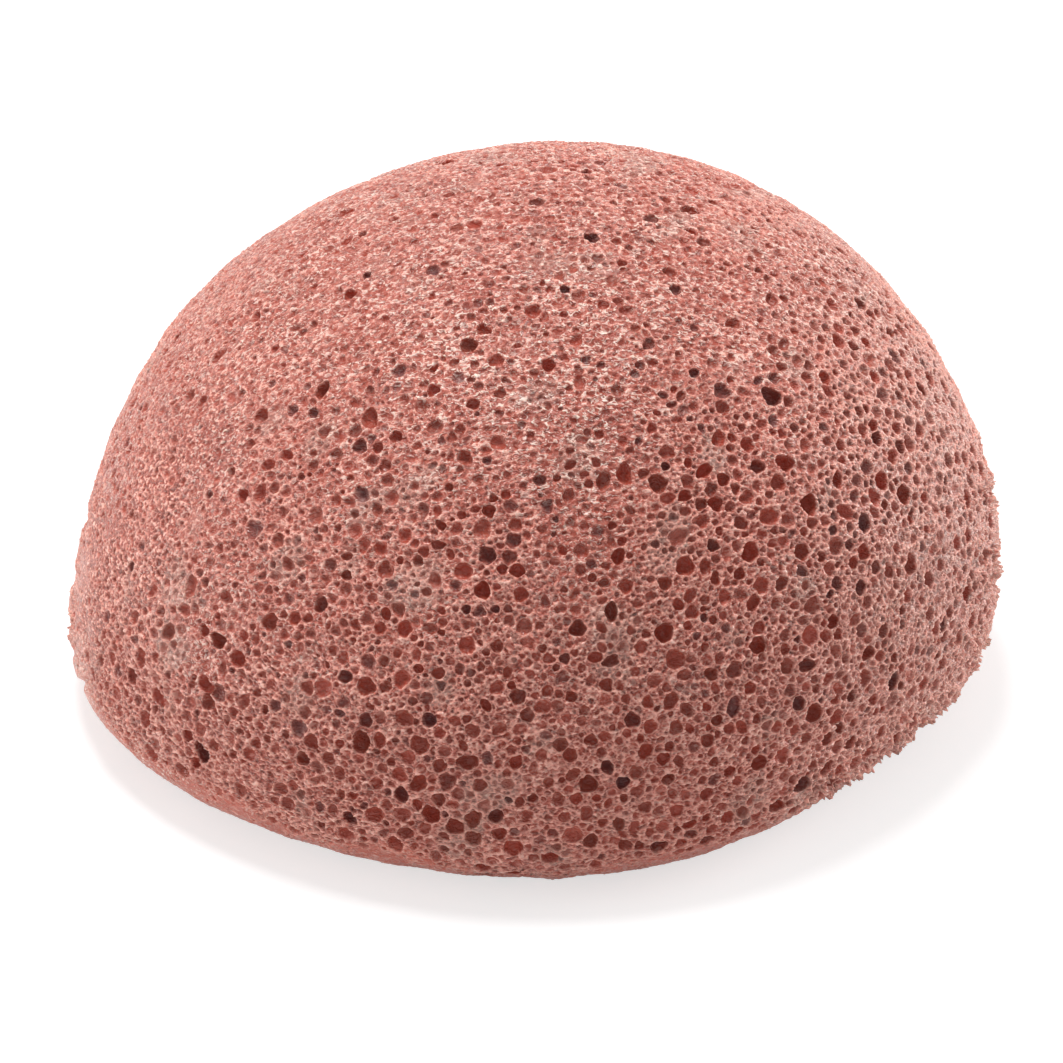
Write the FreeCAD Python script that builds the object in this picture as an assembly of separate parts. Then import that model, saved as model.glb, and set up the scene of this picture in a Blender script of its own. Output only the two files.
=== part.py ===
"""Half-ball konjac sponge, in millimetres.

The sponge is one casting of konjac foam. It grew three layers as it set: a close-pored skin against
the mould cup, an open-celled core, and a flat skin under the lid that closed the cup. Each layer is a
solid of its own here, and they meet face to face. The sponge rests on its flat base, which lies in the
XY plane with its centre at the origin, and +Z points up through the crown. The front is the -Y side,
and the wet foam has slumped towards +X.
"""

import math
import os

import FreeCAD
import Part

# Overall form
SPONGE_DIAMETER = 80.0  # across the widest level, just above the rolled rim
SPONGE_HEIGHT = 44.4  # from the base to the crown
RIM_RADIUS = 6.6  # rolled edge between the base and the dome
CROWN_SLUMP = 3.8  # how far the crown has settled towards +X

# Layers
DOME_SKIN = 1.2  # close-pored skin that set against the mould cup
BASE_SKIN = 1.5  # flat skin that set under the mould's lid

# Torn flanks, where the wet foam stuck to the cup as it came out
TEAR_SLOPE = 30.0  # degrees, how steeply a tear rises towards the front
TEAR_LENGTH = 24.0  # of the round bar that shapes a tear, which leaves the foam at both ends
TEARS = (  # degrees round from +X, degrees up the section from its widest level, radius, depth
    (181, 10, 1.6, 0.5), (186, 4, 1.7, 0.5), (190, -3, 1.2, 0.4), (195, -10, 0.9, 0.5), (200, -21, 0.8, 0.7),
    (357, 15, 1.2, 0.4), (353, 8, 1.5, 0.4), (351, 5, 1.0, 0.4), (345, -10, 0.8, 0.6), (334, -28, 0.8, 0.6),
    (329, -32, 1.0, 0.8), (320, -32, 0.8, 0.7), (313, -36, 0.8, 0.6))

ORIGIN = FreeCAD.Vector(0, 0, 0)
UP = FreeCAD.Vector(0, 0, 1)
FULL_TURN = 360.0
HALF_RIGHT_ANGLE = math.sqrt(0.5)  # sine and cosine of 45 degrees


def point(radius, height):
    """A point of the section, which lies in the XZ plane."""
    return FreeCAD.Vector(radius, 0, height)


def quarter_ellipse(side, crown):
    """The dome's arc as an exact conic, upright at the side and level at the crown."""
    arc = Part.BezierCurve()
    arc.setPoles([side, point(side.x, crown.z), crown])
    arc.setWeight(2, HALF_RIGHT_ANGLE)
    return arc


def section(inset):
    """Half of the sponge's section as a face, with its outer curves moved in by the inset.

    From the axis it runs out along the base, up round the rolled rim on a quarter of a circle, and
    over the crown on a quarter of an ellipse, back to the axis.
    """
    half_width = SPONGE_DIAMETER / 2 - inset
    crown_height = SPONGE_HEIGHT - inset
    rim_radius = RIM_RADIUS - inset
    rim_centre = point(SPONGE_DIAMETER / 2 - RIM_RADIUS, RIM_RADIUS)
    base_centre = point(0, RIM_RADIUS - rim_radius)
    foot = point(rim_centre.x, base_centre.z)
    side = point(half_width, RIM_RADIUS)
    crown = point(0, crown_height)
    slant = rim_radius * HALF_RIGHT_ANGLE
    rim_middle = rim_centre + point(slant, -slant)
    edges = [
        Part.LineSegment(base_centre, foot),
        Part.Arc(foot, rim_middle, side),
        quarter_ellipse(side, crown),
        Part.LineSegment(crown, base_centre),
    ]
    return Part.Face(Part.Wire([edge.toShape() for edge in edges]))


def turned(inset):
    """The section turned round the axis into a solid."""
    return section(inset).revolve(ORIGIN, UP, FULL_TURN)


def tear_bar(turn, lift, radius, depth):
    """A round bar along the outer face, sunk into it by the depth of a tear.

    The lift is the angle of the quarter circle of the rim when it is negative, and of the quarter
    ellipse of the dome when it isn't.
    """
    half_width = SPONGE_DIAMETER / 2
    reach, rise = (RIM_RADIUS, RIM_RADIUS) if lift < 0 else (half_width, SPONGE_HEIGHT - RIM_RADIUS)
    cosine, sine = math.cos(math.radians(lift)), math.sin(math.radians(lift))
    spot = point(half_width - reach + reach * cosine, RIM_RADIUS + rise * sine)
    outward = point(rise * cosine, reach * sine).normalize()
    forward = FreeCAD.Vector(0, -math.copysign(1, math.cos(math.radians(turn))), 0)
    upward = point(-outward.z, outward.x)
    slope = math.radians(TEAR_SLOPE)
    run = forward * math.cos(slope) + upward * math.sin(slope)
    start = spot + outward * (radius - depth) - run * (TEAR_LENGTH / 2)
    bar = Part.makeCylinder(radius, TEAR_LENGTH, start, run)
    bar.rotate(ORIGIN, UP, turn)
    return bar


def slab(low, high):
    """A block wider than the sponge, from one level to another, that picks out a layer."""
    side = 2 * SPONGE_DIAMETER
    corner = FreeCAD.Vector(-side / 2, -side / 2, low)
    return Part.makeBox(side, side, high - low, corner)


def slumped(layer):
    """The layer with each level moved towards +X in proportion to its height above the base skin."""
    shear = FreeCAD.Matrix()
    shear.A13 = CROWN_SLUMP / (SPONGE_HEIGHT - BASE_SKIN)
    shear.A14 = -shear.A13 * BASE_SKIN
    return layer.transformGeometry(shear)


def build_layers():
    """The layers of the casting, each under its own name. The base skin lies flat and doesn't slump."""
    whole = turned(0).cut([tear_bar(*tear) for tear in TEARS])
    above_base_skin = slab(BASE_SKIN, 2 * SPONGE_HEIGHT)
    core = turned(DOME_SKIN).common(above_base_skin)
    return {
        "base_skin": whole.common(slab(-BASE_SKIN, BASE_SKIN)),
        "foam_core": slumped(core),
        "dome_skin": slumped(whole.common(above_base_skin).cut(core)),
    }


os.makedirs("parts", exist_ok=True)
for name, layer in build_layers().items():
    solid = layer.Solids[0]
    solid.exportStep(f"parts/{name}.step")
    box = solid.optimalBoundingBox()
    print(f"{name}: {solid.Volume / 1000:.2f} cm3, valid {solid.isValid()}, "
          f"X {box.XMin:.2f} to {box.XMax:.2f}, Y {box.YMin:.2f} to {box.YMax:.2f}, "
          f"Z {box.ZMin:.2f} to {box.ZMax:.2f}")
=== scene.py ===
"""Half-ball konjac sponge on a pale floor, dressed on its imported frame. Metres, +Z up, front towards -Y."""

import itertools
import math

import bpy
import numpy as np
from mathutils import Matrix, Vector


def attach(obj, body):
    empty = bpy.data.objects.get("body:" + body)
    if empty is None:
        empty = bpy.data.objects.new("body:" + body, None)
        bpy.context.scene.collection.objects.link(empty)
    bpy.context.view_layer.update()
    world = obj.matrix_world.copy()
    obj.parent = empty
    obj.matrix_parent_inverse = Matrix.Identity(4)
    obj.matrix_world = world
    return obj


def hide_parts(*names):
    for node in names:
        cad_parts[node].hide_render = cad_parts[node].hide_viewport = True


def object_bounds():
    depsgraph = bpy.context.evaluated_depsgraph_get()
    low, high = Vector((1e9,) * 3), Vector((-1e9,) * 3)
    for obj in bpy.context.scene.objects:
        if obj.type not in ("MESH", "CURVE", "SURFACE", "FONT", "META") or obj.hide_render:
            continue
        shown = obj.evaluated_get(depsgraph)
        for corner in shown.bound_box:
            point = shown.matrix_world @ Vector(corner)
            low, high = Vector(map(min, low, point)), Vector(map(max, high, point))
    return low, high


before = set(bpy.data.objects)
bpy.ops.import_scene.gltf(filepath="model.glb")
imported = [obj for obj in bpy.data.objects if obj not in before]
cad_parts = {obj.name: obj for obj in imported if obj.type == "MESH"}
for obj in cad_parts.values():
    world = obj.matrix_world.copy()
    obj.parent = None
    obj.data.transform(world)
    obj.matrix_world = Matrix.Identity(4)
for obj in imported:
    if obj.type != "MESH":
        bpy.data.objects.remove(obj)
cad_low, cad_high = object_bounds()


# Sponge: form of the casting
# One block of set konjac foam, cast in a round cup and closed with a flat lid. It came out as a half ball
# with a rolled rim and a flat base, slumped to one side while it was wet, and tore a little where its flanks
# stuck to the cup. All sizes here are millimetres.
MM = 0.001
HALF_WIDTH = (cad_high.y - cad_low.y) / 2 / MM
HEIGHT = cad_high.z / MM
RIM_RADIUS = 6.6  # rolled edge between base and dome
CROWN_SLUMP = 3.8  # how far the crown has settled towards +X
BASE_SKIN = 1.5  # flat skin under the slump
EDGE_SPLITS = 312  # of each icosahedron edge, for triangles of about 0.13 mm
BASE_SHARE = 0.3  # of the dome's points to the area that the hidden base gets
SWELL_WIDTH = 10  # of each soft swell or dent that handling left
SWELLS = np.array([  # where each is centred, and how far it stands out or in
    (40, -8, 9, 0.55), (40, 0, 16, 0.4), (29, -26, 3, -1.05), (6, -37, 1, 0.35), (-15, -34, 2, -0.2),
    (-37, -13, 4, 0.55), (-39, 0, 12, -0.8), (-26, 11, 31, 0.3), (37, 4, 25, -0.3)])
TEAR_SLOPE = 30  # degrees, how steeply a tear of the flanks rises towards the front
TEARS = np.array([  # degrees round from +X, degrees up the section from its widest level, radius, depth
    (181, 10, 1.6, 0.5), (186, 4, 1.7, 0.5), (190, -3, 1.2, 0.4), (195, -10, 0.9, 0.5), (200, -21, 0.8, 0.7),
    (357, 15, 1.2, 0.4), (353, 8, 1.5, 0.4), (351, 5, 1.0, 0.4), (345, -10, 0.8, 0.6), (334, -28, 0.8, 0.6),
    (329, -32, 1.0, 0.8), (320, -32, 0.8, 0.7), (313, -36, 0.8, 0.6)])
TEAR_ROUGH = 0.12  # unevenness of a tear
TEAR_FRAY = 2.0  # how far round a tear the foam is frayed


def even_net(splits):
    """Directions and triangles of an icosahedron with every face cut into splits squared triangles.

    A point of a face is the sum of its corners, each times the sine of its share of the edge's angle, pushed
    out to the unit sphere. Points that faces share are merged. A grid would crowd at the crown, and this
    net has no poles.
    """
    golden = (1 + math.sqrt(5)) / 2
    corners = np.array([(0, a, b * golden) for a in (-1, 1) for b in (-1, 1)])
    corners = np.vstack([np.roll(corners, turn, axis=1) for turn in range(3)])
    triples = np.array(list(itertools.combinations(range(len(corners)), 3)))
    spans = np.linalg.norm(corners[triples] - corners[np.roll(triples, 1, axis=1)], axis=2)
    faces = corners[triples[spans.max(axis=1) < golden + 1]] / math.hypot(1, golden)
    inward = np.linalg.det(faces) < 0
    faces[inward] = faces[inward][:, ::-1]
    i, j = np.nonzero(np.add.outer(np.arange(splits + 1), np.arange(splits + 1)) <= splits)
    shares = np.stack([i, j, splits - i - j], axis=1) / splits
    points = np.einsum("pc,fcx->fpx", np.sin(shares * math.atan(2)), faces)
    points /= np.linalg.norm(points, axis=2, keepdims=True)
    number = np.zeros((splits + 2, splits + 2), dtype=np.int64)
    number[i, j] = np.arange(len(i))
    i, j = i[i + j < splits], j[i + j < splits]
    upright = np.stack([number[i, j], number[i + 1, j], number[i, j + 1]], axis=1)
    i, j = i[i + j < splits - 1], j[i + j < splits - 1]
    inverted = np.stack([number[i + 1, j], number[i + 1, j + 1], number[i, j + 1]], axis=1)
    triangles = np.vstack([upright, inverted]) + len(points[0]) * np.arange(len(faces))[:, None, None]
    points = points.reshape(-1, 3)
    lattice = np.round(points * 2**19).astype(np.int64) + 2**20
    _, first, merged = np.unique(lattice @ [1, 2**21, 2**42], return_index=True, return_inverse=True)
    return points[first], merged[triangles.reshape(-1, 3)]


def casting(directions):
    """Points of the smooth casting that stand over these directions, before it slumps.

    The section runs from the crown down a quarter of an ellipse, round a quarter circle at the rim and in
    along the base. A direction's height on the unit sphere is taken as a share of area, and the same share
    of the turned section gives its radius and level.
    """
    turn = np.linspace(0, math.pi / 2, 4000)
    flat = HALF_WIDTH - RIM_RADIUS
    radius = np.concatenate([
        HALF_WIDTH * np.sin(turn), flat + RIM_RADIUS * np.cos(turn), flat * np.cos(turn)])
    level = np.concatenate([
        RIM_RADIUS + (HEIGHT - RIM_RADIUS) * np.cos(turn), RIM_RADIUS * (1 - np.sin(turn)), 0 * turn])
    width = np.hypot(np.diff(radius), np.diff(level))
    area = width * (radius[1:] + radius[:-1])
    area[-len(turn):] *= BASE_SHARE
    share = np.concatenate([[0], np.cumsum(area)]) / area.sum()
    place = (1 - directions[:, 2]) / 2
    radius = np.interp(place, share, radius)
    level = np.interp(place, share, level)
    out = directions[:, :2] / np.maximum(np.linalg.norm(directions[:, :2], axis=1, keepdims=True), 1e-12)
    return np.column_stack([out * radius[:, None], level])


def normals_of(points, triangles):
    """Unit normals at the points, each the sum of the area vectors of the triangles round it."""
    a, b, c = (points[triangles[:, k]] for k in range(3))
    vectors = np.cross(b - a, c - a)
    total = np.stack([
        sum(np.bincount(triangles[:, k], vectors[:, axis], len(points)) for k in range(3))
        for axis in range(3)], axis=1)
    return total / np.linalg.norm(total, axis=1, keepdims=True)


def waves(points, length, seed, count=40):
    """Smooth random field of unit spread: plane waves of about this length, added up in random directions."""
    dice = np.random.default_rng(seed)
    aim = dice.normal(size=(3, count))
    aim *= 2 * math.pi / length / np.linalg.norm(aim, axis=0) * dice.uniform(0.6, 1.5, count)
    return np.cos(points @ aim + dice.uniform(0, 2 * math.pi, count)).sum(axis=1) * math.sqrt(2 / count)


def past_tears(points):
    """How far each point of the casting before its slump lies outside the round bar of each tear.

    A bar lies along the outer face, sunk into it by the tear's depth, and runs towards the front and up by
    the slope. The lift is the angle of the rim's quarter circle, or of the dome's quarter ellipse.
    """
    turn, lift, radius, depth = (TEARS * (math.pi / 180, math.pi / 180, 1, 1)).T
    reach = np.where(lift < 0, RIM_RADIUS, HALF_WIDTH)
    rise = np.where(lift < 0, RIM_RADIUS, HEIGHT - RIM_RADIUS)
    out = np.stack([rise * np.cos(lift), reach * np.sin(lift)])
    out /= np.linalg.norm(out, axis=0)
    away = HALF_WIDTH - reach + reach * np.cos(lift) + out[0] * (radius - depth)
    level = RIM_RADIUS + rise * np.sin(lift) + out[1] * (radius - depth)
    slope = math.radians(TEAR_SLOPE)
    forward = -np.sign(np.cos(turn)) * math.cos(slope)
    back = -out[1] * math.sin(slope)
    axis = np.stack([
        np.cos(turn) * back - np.sin(turn) * forward,
        np.sin(turn) * back + np.cos(turn) * forward,
        out[0] * math.sin(slope)], axis=1)
    spot = np.stack([away * np.cos(turn), away * np.sin(turn), level], axis=1)
    return np.stack([
        np.linalg.norm(np.cross(points - spot[k], axis[k]), axis=1) - radius[k]
        for k in range(len(TEARS))], axis=1)


directions, triangles = even_net(EDGE_SPLITS)
smooth = casting(directions)
past_tear = past_tears(smooth).min(axis=1) + TEAR_ROUGH * waves(smooth, 1.5, seed=13)
fray = np.clip(1 - past_tear / TEAR_FRAY, 0, 1)
smooth[:, 0] += CROWN_SLUMP * np.maximum(smooth[:, 2] - BASE_SKIN, 0) / (HEIGHT - BASE_SKIN)
outward = normals_of(smooth, triangles)
gap = np.stack([np.linalg.norm(smooth - swell[:3], axis=1) for swell in SWELLS], axis=1)
swell_height = np.exp(-(gap / SWELL_WIDTH) ** 2 / 2) @ SWELLS[:, 3:]
smooth += outward * (swell_height + np.minimum(past_tear, 0)[:, None])
smooth[:, 2] = np.maximum(smooth[:, 2], 0)


# Sponge: pores
# Bubbles that the surface cuts open, packed from large to small with thin walls of foam left between them.
# They are small and shallow where the foam set close against the cup, at the crown and on both flanks, and
# wide and deep low down at the front. The rolled rim has few.
PORE_SIZES = (  # least and greatest radius, and seats tried
    (0.55, 0.78, 2500), (0.38, 0.55, 10000), (0.25, 0.38, 50000), (0.15, 0.25, 160000))
PORE_WALL = 0.1  # foam left between two pores
PORE_SWELL = 1.15  # how far a pore grows past its seat, up to the walls of the next ones
CORNER_ROUND = 0.08  # where two walls of a pore meet
BROKEN_SHARE = 0.15  # of the walls, where two pores open into each other
LIP_HEIGHT = 0.04  # raised edge round a pore
LIP_WIDTH = 0.05
FRAYED_LIP = 0.25  # of the walls left standing round the tears
RIM_SNAP = 0.06  # net points this close to a pore's edge are moved onto it
GRAIN_HEIGHT = 0.06  # of the fine bumps between pores
DRIFT_HEIGHT = 0.05  # of the slow unevenness under them
SHADE_DEPTH = 0.22  # how deep in a pore its painted shade has mostly taken over
RIM_LEVEL = 4.0  # top of the smooth band along the rim
RIM_FADE = 1.5
LEFT_START, LEFT_FADE = -10, 25  # where the left flank grows close, and over what width
RIGHT_START, RIGHT_FADE = 28, 9
CLOSED_START, CLOSED_FADE = -33, 6  # where the left edge has closed over
EDGE_LIGHT_LEVEL, EDGE_LIGHT_FADE = 18, 10  # below which the closed edge gets painted light, and over what height
GLINT_SPOTS = np.array([  # where the painted glints gather, and how wide
    (-5, -21, 38, 5), (5, -16, 41, 4), (5, -24, 37, 4), (-36, -14, 5, 4), (-29, -25, 3, 4)])


def near(points, others, reach):
    """Index pairs of points and others less than reach apart, found in a lattice of cubes of that size."""
    keys = np.array([1, 2**20, 2**40])
    cubes = np.floor(points / reach).astype(np.int64)
    other_keys = np.floor(others / reach).astype(np.int64) @ keys
    order = np.argsort(other_keys)
    other_keys = other_keys[order]
    found = []
    for step in itertools.product((-1, 0, 1), repeat=3):
        wanted = (cubes + step) @ keys
        start = np.searchsorted(other_keys, wanted, "left")
        count = np.searchsorted(other_keys, wanted, "right") - start
        one = np.repeat(np.arange(len(points)), count)
        other = order[np.arange(len(one)) - np.repeat(np.cumsum(count) - count - start, count)]
        close = np.linalg.norm(points[one] - others[other], axis=1) < reach
        found.append((one[close], other[close]))
    return np.concatenate([pair[0] for pair in found]), np.concatenate([pair[1] for pair in found])


def keep_clear(centres, radii, placed, placed_radii):
    """Which pores stay when each, from the largest down, keeps clear of those already there."""
    waiting = np.ones(len(centres), dtype=bool)
    one, other = near(centres, placed, radii.max() + placed_radii.max(initial=0))
    gap = np.linalg.norm(centres[one] - placed[other], axis=1) - radii[one] - placed_radii[other]
    waiting[one[gap < 0]] = False
    larger, smaller = near(centres, centres, 2 * radii.max())
    gap = np.linalg.norm(centres[larger] - centres[smaller], axis=1) - radii[larger] - radii[smaller]
    clash = (gap < 0) & (radii[larger] > radii[smaller])
    larger, smaller = larger[clash], smaller[clash]
    staying = np.zeros(len(centres), dtype=bool)
    while waiting.any():
        live = waiting[larger] & waiting[smaller]
        larger, smaller = larger[live], smaller[live]
        chosen = waiting.copy()
        chosen[smaller] = False
        staying |= chosen
        waiting &= ~chosen
        waiting[smaller[chosen[larger]]] = False
    return staying


def soften(values):
    """Each point's value averaged with those of the points round it."""
    total = np.zeros(len(values))
    count = np.zeros(len(values))
    sums = values[triangles].sum(axis=1)
    for k in range(3):
        total += np.bincount(triangles[:, k], sums, len(values))
        count += np.bincount(triangles[:, k], minlength=len(values))
    return total / (3 * count)


height_share = smooth[:, 2] / HEIGHT
side_share = smooth[:, 0] / HALF_WIDTH
# Shares from 0 to 1: how open the foam is, the smooth rim, whose colour is also a painted shade, the close
# flanks, the closed left edge, the grey film that dries in the cells, with more grey towards the right flank,
# the crumpled crown, the painted glints, and the painted light on the low closed left edge
coarse = 1.05 - 0.6 * height_share**1.5 + 0.25 * side_share + 0.18 * waves(smooth, 26, seed=3)
coarse = np.clip(coarse, 0.05, 1)
rim_band = RIM_LEVEL - 2 * np.minimum(side_share, 0) + 0.7 * waves(smooth, 18, seed=4)
rim_band = np.clip((rim_band - smooth[:, 2]) / RIM_FADE, 0, 1)
pressed = np.clip((LEFT_START - smooth[:, 0]) / LEFT_FADE, 0, 1)
pressed = np.maximum(pressed, 0.7 * np.clip((smooth[:, 0] - RIGHT_START) / RIGHT_FADE, 0, 1))
closed = np.clip((CLOSED_START - smooth[:, 0]) / CLOSED_FADE + 0.2 * waves(smooth, 9, seed=12), 0, 1)
film = np.clip((waves(smooth, 7, seed=8) - 1.1) / 0.6, 0, 1)
film *= coarse * (1 - rim_band) * (1 - closed)
film = np.maximum(film, 0.8 * np.clip((side_share - 0.45) / 0.4, 0, 1))
crumpled = 2.0 * (height_share - 0.4) - 0.2 * side_share + 0.25 * waves(smooth, 12, seed=5)
crumpled = np.clip(crumpled, 0, 1)
# Painted glints: share of pale flecks, most at the crown, round the spots and on the lower left rim
gap = np.stack([np.linalg.norm(smooth - spot[:3], axis=1) / spot[3] for spot in GLINT_SPOTS], axis=1)
painted_glint = 0.2 + 0.7 * crumpled + 0.8 * np.exp(-gap**2).sum(axis=1)
painted_glint += 0.25 * rim_band * np.clip(-2 * side_share, 0, 1)
# Painted light: the low part of the closed left edge is given a paler colour
painted_edge_light = closed * np.clip((EDGE_LIGHT_LEVEL - smooth[:, 2]) / EDGE_LIGHT_FADE, 0, 1)

dice = np.random.default_rng(11)
seats = np.zeros(0, dtype=np.int64)
radii = np.zeros(0)
for least, most, tries in PORE_SIZES:
    seat = dice.integers(len(smooth), size=tries)
    radius = least * (most / least) ** dice.uniform(size=tries) ** 1.5
    power = 2.6 - 4 * np.minimum(radius, 0.4) + 8 * np.maximum(radius - 0.4, 0)
    chance = coarse[seat] ** power * (1 - 0.93 * rim_band[seat]) * (1 - 0.5 * closed[seat])
    chance *= 1 - 0.6 * pressed[seat] * (radius < 0.25)
    wanted = dice.uniform(size=tries) < chance
    seat, radius = seat[wanted], radius[wanted]
    staying = keep_clear(smooth[seat], radius, smooth[seats], radii)
    seats = np.concatenate([seats, seat[staying]])
    radii = np.concatenate([radii, radius[staying]])

pore_count = len(radii)
centres = smooth[seats]
up = outward[seats]
along = np.cross(up, dice.normal(size=(pore_count, 3)))
along /= np.linalg.norm(along, axis=1, keepdims=True)
across = np.cross(up, along)
stretch = 1 + 0.3 * dice.uniform(size=pore_count) ** 2
wobble = dice.uniform(0, 1, (pore_count, 2)) * (0.13, 0.07)
phase = dice.uniform(0, 2 * math.pi, (pore_count, 2))
open_share = 0.5 * radii + (0.1 + 0.3 * coarse[seats]) * (1 - 0.9 * pressed[seats])
open_share += 0.25 * dice.normal(size=pore_count)
open_share = np.clip(open_share, 0, 1)
bowl = np.radians(32 + 72 * open_share)
pore_hue = dice.uniform(size=pore_count)

pairs = []
for least, most, tries in PORE_SIZES:
    some = np.nonzero((radii >= least) & (radii < most))[0]
    pore, point = near(centres[some], smooth, 1.4 * PORE_SWELL * most + 2 * PORE_WALL)
    pairs.append((some[pore], point))
pore, point = (np.concatenate(column) for column in zip(*pairs))
offset = smooth[point] - centres[pore]
a = (offset * along[pore]).sum(axis=1) / stretch[pore]
b = (offset * across[pore]).sum(axis=1) * stretch[pore]
turn = np.arctan2(b, a)
lobes = np.cos(np.stack([3 * turn, 5 * turn], axis=1) + phase[pore])
edge = PORE_SWELL + (wobble[pore] * lobes).sum(axis=1)
gap = np.hypot(a, b) - radii[pore] * edge
order = np.lexsort((gap, point))
pore, point, gap = pore[order], point[order], gap[order]
first = np.append(True, point[1:] != point[:-1])
second = np.append(False, first[:-1]) & ~first
owner = np.zeros(len(smooth), dtype=np.int64)
owner[point[first]] = pore[first]
nearest = np.full(len(smooth), 9.0)  # from the edge of the nearest pore, less than 0 inside it
nearest[point[first]] = gap[first]
next_nearest = np.full(len(smooth), 9.0)
next_nearest[point[second]] = gap[second]
next_owner = owner.copy()
next_owner[point[second]] = pore[second]
to_wall = (nearest - next_nearest + PORE_WALL) / 2
to_wall[(pore_hue[owner] + pore_hue[next_owner]) % 1 < BROKEN_SHARE] = -9
blend = np.clip(0.5 + (nearest - to_wall) / (2 * CORNER_ROUND), 0, 1)
gap = to_wall + (nearest - to_wall) * blend + CORNER_ROUND * blend * (1 - blend)

offset = smooth - centres[owner]
offset -= up[owner] * (offset * up[owner]).sum(axis=1, keepdims=True)
from_centre = np.maximum(np.linalg.norm(offset, axis=1), 1e-6)
snap = np.abs(gap) < RIM_SNAP
inside = np.where(gap < -RIM_SNAP, from_centre / (from_centre - gap), 1)
angle = bowl[owner]
ball = 1 / np.sin(angle)
spread = np.where(inside < 1, ball * np.sin(inside * angle) / np.maximum(inside, 1e-6), 1)
spread[snap] -= gap[snap] / from_centre[snap]
sunk = (from_centre - gap) * ball * (np.cos(inside * angle) - np.cos(angle))
sunk[inside == 1] = 0
lip = np.exp(-((np.where(snap, 0, gap) / LIP_WIDTH) ** 2)) * (1 - 0.7 * crumpled) * (1 - 0.5 * closed)
pore_depth = 1 - np.exp(-sunk / SHADE_DEPTH)
speckle = dice.normal(size=len(smooth))
grain = soften(speckle)
grain = grain / grain.std()
drawn_out = waves(smooth * (0.6, 1, 1), 0.5, seed=9, count=60)
grain = (1 - crumpled) * grain + 0.7 * crumpled * drawn_out
grain *= (1 - 0.6 * rim_band) * (1 - 0.5 * closed)
spikes = FRAYED_LIP * fray * (1 - 0.9 * closed) * np.clip(waves(smooth, 0.9, seed=7), 0, 2)
relief = (LIP_HEIGHT + spikes) * lip - sunk + GRAIN_HEIGHT * grain * (1 - pore_depth)
relief += DRIFT_HEIGHT * waves(smooth, 5, seed=6)
points = smooth + (spread - 1)[:, None] * offset + relief[:, None] * outward
points[:, 2] = np.maximum(points[:, 2], 0)


# Sponge: mesh
# The net of the casting with its pores pressed in, as one closed skin of triangles. Each point carries the
# shares that the foam's colours need, and the chart unrolls the dome and the base as two discs.
mesh = bpy.data.meshes.new("sponge")
mesh.vertices.add(len(points))
mesh.vertices.foreach_set("co", (points * MM).ravel())
mesh.loops.add(triangles.size)
mesh.loops.foreach_set("vertex_index", triangles.ravel())
mesh.polygons.add(len(triangles))
mesh.polygons.foreach_set("loop_start", np.arange(0, triangles.size, 3))
mesh.update(calc_edges=True)
mesh.shade_smooth()
shares = {
    "pore_depth": pore_depth, "lip": lip, "pore_hue": pore_hue[owner], "film": film, "rim_band": rim_band,
    "painted_glint": painted_glint, "painted_edge_light": painted_edge_light, "grain": 0.8 * grain + 0.4 * speckle}
for name, values in shares.items():
    mesh.attributes.new(name, "FLOAT", "POINT").data.foreach_set("value", values)

DOME_CHART = (0.38, 0.37)  # centre and radius of the dome's disc on the unit square
BASE_CHART = (0.80, 0.18)
corner = directions[triangles.ravel()]
under = np.repeat(directions[triangles, 2].mean(axis=1) < -0.7, 3)
reach = np.sqrt(np.where(under, 1 + corner[:, 2], 1 - corner[:, 2]) / np.where(under, 0.3, 1.7))
flat = corner[:, :2] / np.maximum(np.linalg.norm(corner[:, :2], axis=1, keepdims=True), 1e-12)
chart = np.where(under[:, None], BASE_CHART, DOME_CHART)
mesh.uv_layers.new(name="OFBake").uv.foreach_set(
    "vector", (chart[:, :1] + flat * (reach * chart[:, 1])[:, None]).ravel())

sponge = bpy.data.objects.new("sponge", mesh)
bpy.context.collection.objects.link(sponge)


# Sponge: damp konjac foam
# A translucent plant gel tinted with pink clay. The close skin is pale and grainy, darker in the pits of its
# grain as painted shade. Pores are painted deep red brown inside, a painted shade that darkens with depth;
# their thin edges get a paler painted highlight; small sharp pale flecks are painted glints of the water on
# it; the rolled rim gets a deeper red painted shade, and the low closed left edge a paler painted light.


def linear(code):
    """The linear colour of an sRGB hex code."""
    shares = np.array([int(code[k:k + 2], 16) for k in (0, 2, 4)]) / 255
    return (*np.where(shares <= 0.04045, shares / 12.92, ((shares + 0.055) / 1.055) ** 2.4), 1.0)


def add(tree, kind, inputs=None, **settings):
    """Adds a node, sets its settings, and gives its inputs a value or a link from another node's socket."""
    made = tree.nodes.new(kind)
    for name, value in settings.items():
        setattr(made, name, value)
    for name, value in (inputs or {}).items():
        if isinstance(value, bpy.types.NodeSocket):
            tree.links.new(value, made.inputs[name])
        else:
            made.inputs[name].default_value = value
    return made


foam = bpy.data.materials.new("konjac_foam_damp")
foam.use_nodes = True
tree = foam.node_tree
tree.nodes.clear()
place = add(tree, "ShaderNodeTexCoord").outputs["Object"]
pore_shade_in = add(tree, "ShaderNodeAttribute", attribute_name="pore_depth").outputs["Fac"]
hue_in = add(tree, "ShaderNodeAttribute", attribute_name="pore_hue").outputs["Fac"]
lip_in = add(tree, "ShaderNodeAttribute", attribute_name="lip").outputs["Fac"]
grain_and_shade_in = add(tree, "ShaderNodeAttribute", attribute_name="grain").outputs["Fac"]
rim_in = add(tree, "ShaderNodeAttribute", attribute_name="rim_band").outputs["Fac"]
film_in = add(tree, "ShaderNodeAttribute", attribute_name="film").outputs["Fac"]
painted_glint_in = add(tree, "ShaderNodeAttribute", attribute_name="painted_glint").outputs["Fac"]
painted_edge_light_in = add(tree, "ShaderNodeAttribute", attribute_name="painted_edge_light").outputs["Fac"]
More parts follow.
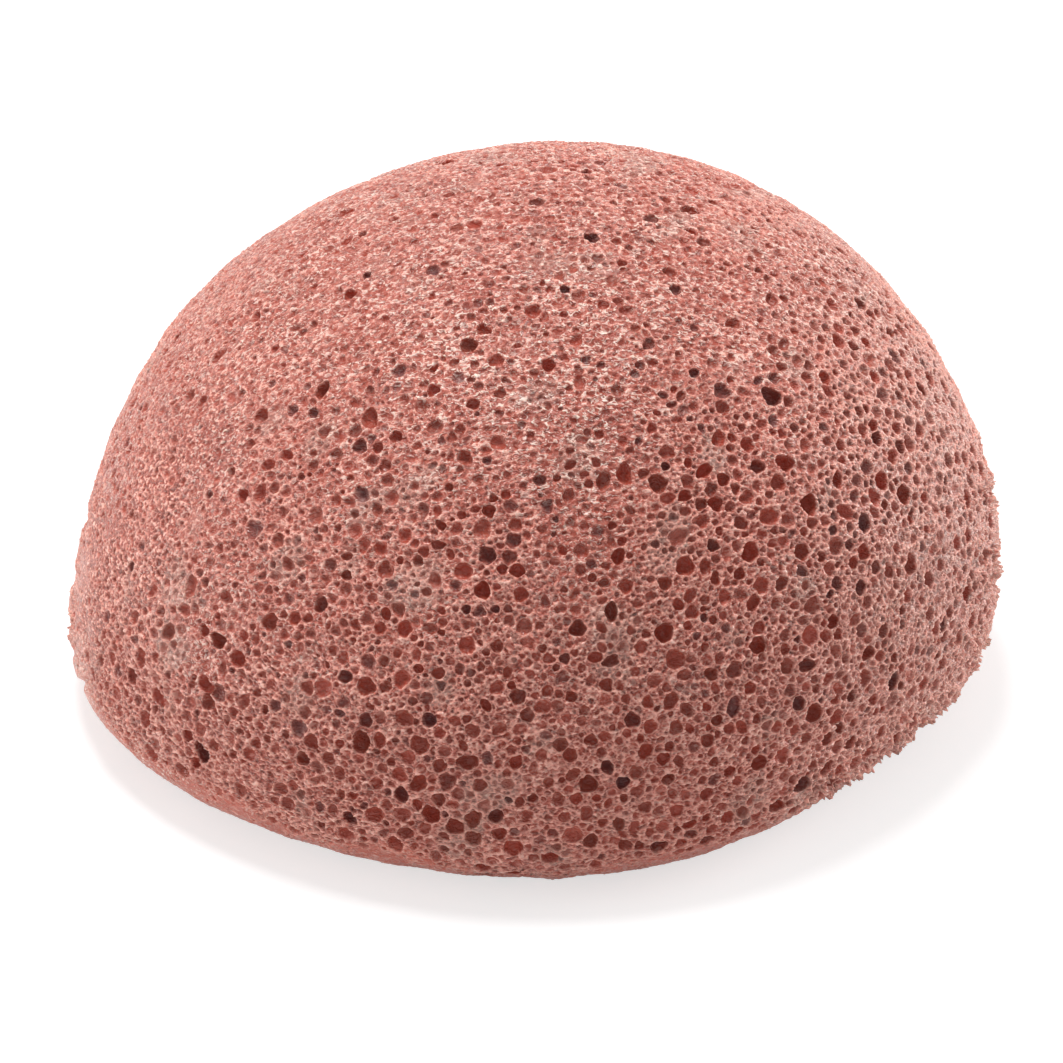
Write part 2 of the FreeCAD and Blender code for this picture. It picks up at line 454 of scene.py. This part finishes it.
drawn = add(tree, "ShaderNodeMapping", {
    "Vector": place, "Scale": (0.62, 1.0, 1.0),
    "Rotation": (0, math.radians(-14), math.radians(8))}).outputs["Vector"]
grit = add(tree, "ShaderNodeTexNoise", {
    "Vector": drawn, "Scale": 1 / (0.45 * MM), "Detail": 2.0, "Roughness": 0.75}).outputs["Fac"]
sliver = add(tree, "ShaderNodeTexNoise", {
    "Vector": drawn, "Scale": 1 / (0.33 * MM), "Detail": 1.0, "Roughness": 0.7,
    "Distortion": 1.2}).outputs["Fac"]
patch = add(tree, "ShaderNodeTexNoise", {
    "Vector": place, "Scale": 1 / (4 * MM), "Detail": 2.0}).outputs["Fac"]
blush = add(tree, "ShaderNodeTexNoise", {
    "Vector": place, "Scale": 1 / (7 * MM), "Detail": 2.0}).outputs["Fac"]
blush = add(tree, "ShaderNodeMapRange", {
    "Value": blush, "From Min": 0.45, "From Max": 0.75, "To Max": 0.4}, clamp=True).outputs[0]
# The skin's tone varies at random with grit and patches, and is lighter on the raised grain and darker in its
# pits: a painted shade that follows the relief
tone = add(tree, "ShaderNodeMath", {0: grain_and_shade_in, 1: 0.2, 2: grit}, operation="MULTIPLY_ADD").outputs[0]
tone = add(tree, "ShaderNodeMath", {0: patch, 1: 0.35, 2: tone}, operation="MULTIPLY_ADD").outputs[0]
skin = add(tree, "ShaderNodeValToRGB", {"Fac": tone})
skin.color_ramp.elements.remove(skin.color_ramp.elements[1])
skin.color_ramp.elements[0].position = 0.3
skin.color_ramp.elements[0].color = linear("7a3024")
for spot, code in ((0.5, "944234"), (0.66, "ac5648"), (0.82, "c87464"), (0.98, "fac0b0")):
    skin.color_ramp.elements.new(spot).color = linear(code)
# Painted shade: the rolled rim, which turns down and away from the light, gets a deeper red colour
rim_shade_share = add(tree, "ShaderNodeMath", {0: rim_in, 1: 0.85}, operation="MULTIPLY").outputs[0]
blushed = add(tree, "ShaderNodeMix", {
    "Factor": blush, 6: skin.outputs["Color"], 7: linear("b04e3c")}, data_type="RGBA").outputs[2]
rim_shaded = add(tree, "ShaderNodeMix", {
    "Factor": rim_shade_share, 6: blushed, 7: linear("c4624e")}, data_type="RGBA").outputs[2]
# Painted light: paler colour on the low closed left edge
painted_edge_light_share = add(tree, "ShaderNodeMath", {0: painted_edge_light_in, 1: 0.5}, operation="MULTIPLY").outputs[0]
edge_light_painted = add(tree, "ShaderNodeMix", {
    "Factor": painted_edge_light_share, 6: rim_shaded, 7: linear("f0b8aa")}, data_type="RGBA").outputs[2]
film_share = add(tree, "ShaderNodeMath", {0: film_in, 1: 0.55}, operation="MULTIPLY").outputs[0]
filmed = add(tree, "ShaderNodeMix", {
    "Factor": film_share, 6: edge_light_painted, 7: linear("ac9084")}, data_type="RGBA").outputs[2]
# Painted highlight: the pore edges get a paler colour where they would catch the light
lip_highlight_share = add(tree, "ShaderNodeMapRange", {
    "Value": grit, "From Min": 0.3, "From Max": 0.65, "To Min": 0.3}, clamp=True).outputs[0]
lip_highlight_share = add(tree, "ShaderNodeMath", {0: lip_highlight_share, 1: lip_in}, operation="MULTIPLY").outputs[0]
lip_highlighted = add(tree, "ShaderNodeMix", {
    "Factor": lip_highlight_share, 6: filmed, 7: linear("eea898")}, data_type="RGBA").outputs[2]
# Pale flecks on the ridges of the sliver noise: painted glints
shown = add(tree, "ShaderNodeMapRange", {
    "Value": sliver, "From Min": 0.52, "From Max": 0.70}, clamp=True).outputs[0]
shown = add(tree, "ShaderNodeMath", {0: shown, 1: painted_glint_in}, operation="MULTIPLY", use_clamp=True).outputs[0]
glint_flecked = add(tree, "ShaderNodeMix", {
    "Factor": shown, 6: lip_highlighted, 7: linear("fcdcce")}, data_type="RGBA").outputs[2]
# Painted shade: pores darken to deep red browns towards their floors, in tones that vary at random per pore
pore_shade_tone = add(tree, "ShaderNodeValToRGB", {"Fac": hue_in})
pore_shade_tone.color_ramp.elements[0].color = linear("ba5240")
pore_shade_tone.color_ramp.elements[1].color = linear("683030")
pore_shade_tone.color_ramp.elements.new(0.8).color = linear("984636")
colour = add(tree, "ShaderNodeMix", {
    "Factor": pore_shade_in, 6: glint_flecked, 7: pore_shade_tone.outputs["Color"]}, data_type="RGBA").outputs[2]
bump = add(tree, "ShaderNodeBump", {
    "Height": sliver, "Strength": 1.0, "Distance": 0.2 * MM}).outputs["Normal"]
shader = add(tree, "ShaderNodeBsdfPrincipled", {
    "Base Color": colour, "Roughness": 0.2, "IOR": 1.36, "Normal": bump,
    "Subsurface Weight": 0.3, "Subsurface Radius": (1.0, 0.4, 0.3), "Subsurface Scale": 0.5 * MM,
    "Sheen Weight": 0.35, "Sheen Roughness": 0.45, "Sheen Tint": linear("f4c4b8")}).outputs[0]
add(tree, "ShaderNodeOutputMaterial", {"Surface": shader})
mesh.materials.append(foam)

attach(sponge, "root")
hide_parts("dome_skin", "foam_core", "base_skin")


# Floor
# A white studio sweep of matt paper. The camera sees it nearly white, with the sponge's soft shadow on it,
# and it throws a little light back up at the foam.
FLOOR_SIZE = 4.0
FLOOR_LEVEL = -0.1 * MM  # just clear of the base, so that the two faces don't coincide
floor_mesh = bpy.data.meshes.new("floor")
half = FLOOR_SIZE / 2
corners = ((-half, -half), (half, -half), (half, half), (-half, half))
floor_mesh.from_pydata([(x, y, FLOOR_LEVEL) for x, y in corners], [], [(0, 1, 2, 3)])
floor = bpy.data.objects.new("floor", floor_mesh)
bpy.context.collection.objects.link(floor)
paper = bpy.data.materials.new("white_studio_paper")
paper.use_nodes = True
tree = paper.node_tree
tree.nodes.clear()
path = add(tree, "ShaderNodeLightPath")
direct = add(tree, "ShaderNodeMath", {
    0: path.outputs["Is Camera Ray"], 1: path.outputs["Is Glossy Ray"]}, operation="MAXIMUM").outputs[0]
seen = add(tree, "ShaderNodeMath", {
    0: direct, 1: path.outputs["Is Transmission Ray"]}, operation="MAXIMUM").outputs[0]
glow = add(tree, "ShaderNodeEmission", {"Color": linear("ffffff"), "Strength": 0.65}).outputs[0]
lit = add(tree, "ShaderNodeBsdfDiffuse", {"Color": linear("b8b8b8")}).outputs[0]
white = add(tree, "ShaderNodeAddShader", {0: glow, 1: lit}).outputs[0]
grey = add(tree, "ShaderNodeBsdfDiffuse", {"Color": linear("e0e0e0")}).outputs[0]
surface = add(tree, "ShaderNodeMixShader", {0: seen, 1: grey, 2: white}).outputs[0]
add(tree, "ShaderNodeOutputMaterial", {"Surface": surface})
floor_mesh.materials.append(paper)


# Light
# A softbox high above, two weaker ones low at the left and behind at the right that light the flanks, and an
# even fill from all round. The backdrop itself is white.
world = bpy.data.worlds.new("studio")
world.use_nodes = True
tree = world.node_tree
tree.nodes.clear()
path = add(tree, "ShaderNodeLightPath")
direct = add(tree, "ShaderNodeMath", {
    0: path.outputs["Is Camera Ray"], 1: path.outputs["Is Glossy Ray"]}, operation="MAXIMUM").outputs[0]
seen = add(tree, "ShaderNodeMath", {
    0: direct, 1: path.outputs["Is Transmission Ray"]}, operation="MAXIMUM").outputs[0]
fill = add(tree, "ShaderNodeBackground", {"Color": linear("ffffff"), "Strength": 0.45}).outputs[0]
backdrop = add(tree, "ShaderNodeBackground", {"Color": linear("ffffff"), "Strength": 1.0}).outputs[0]
both = add(tree, "ShaderNodeMixShader", {0: seen, 1: fill, 2: backdrop}).outputs[0]
add(tree, "ShaderNodeOutputWorld", {"Surface": both})
bpy.context.scene.world = world

for name, place, size, energy in (
        ("softbox_above", (-0.05, 0.08, 0.49), 0.16, 1.95),
        ("softbox_left", (-0.55, -0.02, 0.03), 0.30, 1.9),
        ("softbox_right", (0.50, 0.20, 0.12), 0.30, 2.1)):
    lamp = bpy.data.lights.new(name, "AREA")
    lamp.shape = "DISK"
    lamp.size = size
    lamp.energy = energy
    lamp_object = bpy.data.objects.new(name, lamp)
    lamp_object.location = place
    lamp_object.rotation_euler = (-Vector(place) + Vector((0, 0, 0.02))).to_track_quat("-Z", "Y").to_euler()
    bpy.context.collection.objects.link(lamp_object)


# Camera
# A long lens that looks down on the sponge from in front, as the photograph was taken. Its shift puts the
# sponge where the photograph has it.
VIEW_HEIGHT = 28.3  # degrees above level
VIEW_DISTANCE = 0.300
AIM_LEVEL = 0.018  # height of the point it looks at
PHOTO_WIDTH = 1063  # pixels
PHOTO_SCALE = 11.609  # pixels to a millimetre where it looks
SHIFT_RIGHT, SHIFT_UP = 10.6, -67.25  # pixels
camera = bpy.data.cameras.new("camera")
camera.sensor_width = 36
camera.lens = camera.sensor_width * PHOTO_SCALE * VIEW_DISTANCE / MM / PHOTO_WIDTH
camera.shift_x = SHIFT_RIGHT / PHOTO_WIDTH
camera.shift_y = SHIFT_UP / PHOTO_WIDTH
camera.clip_start = 0.01
tilt = math.radians(VIEW_HEIGHT)
camera_object = bpy.data.objects.new("camera", camera)
camera_object.location = (0, -VIEW_DISTANCE * math.cos(tilt), AIM_LEVEL + VIEW_DISTANCE * math.sin(tilt))
camera_object.rotation_euler = (math.pi / 2 - tilt, 0, 0)
bpy.context.collection.objects.link(camera_object)
bpy.context.scene.camera = camera_object
bpy.context.scene.view_settings.view_transform = "Standard"
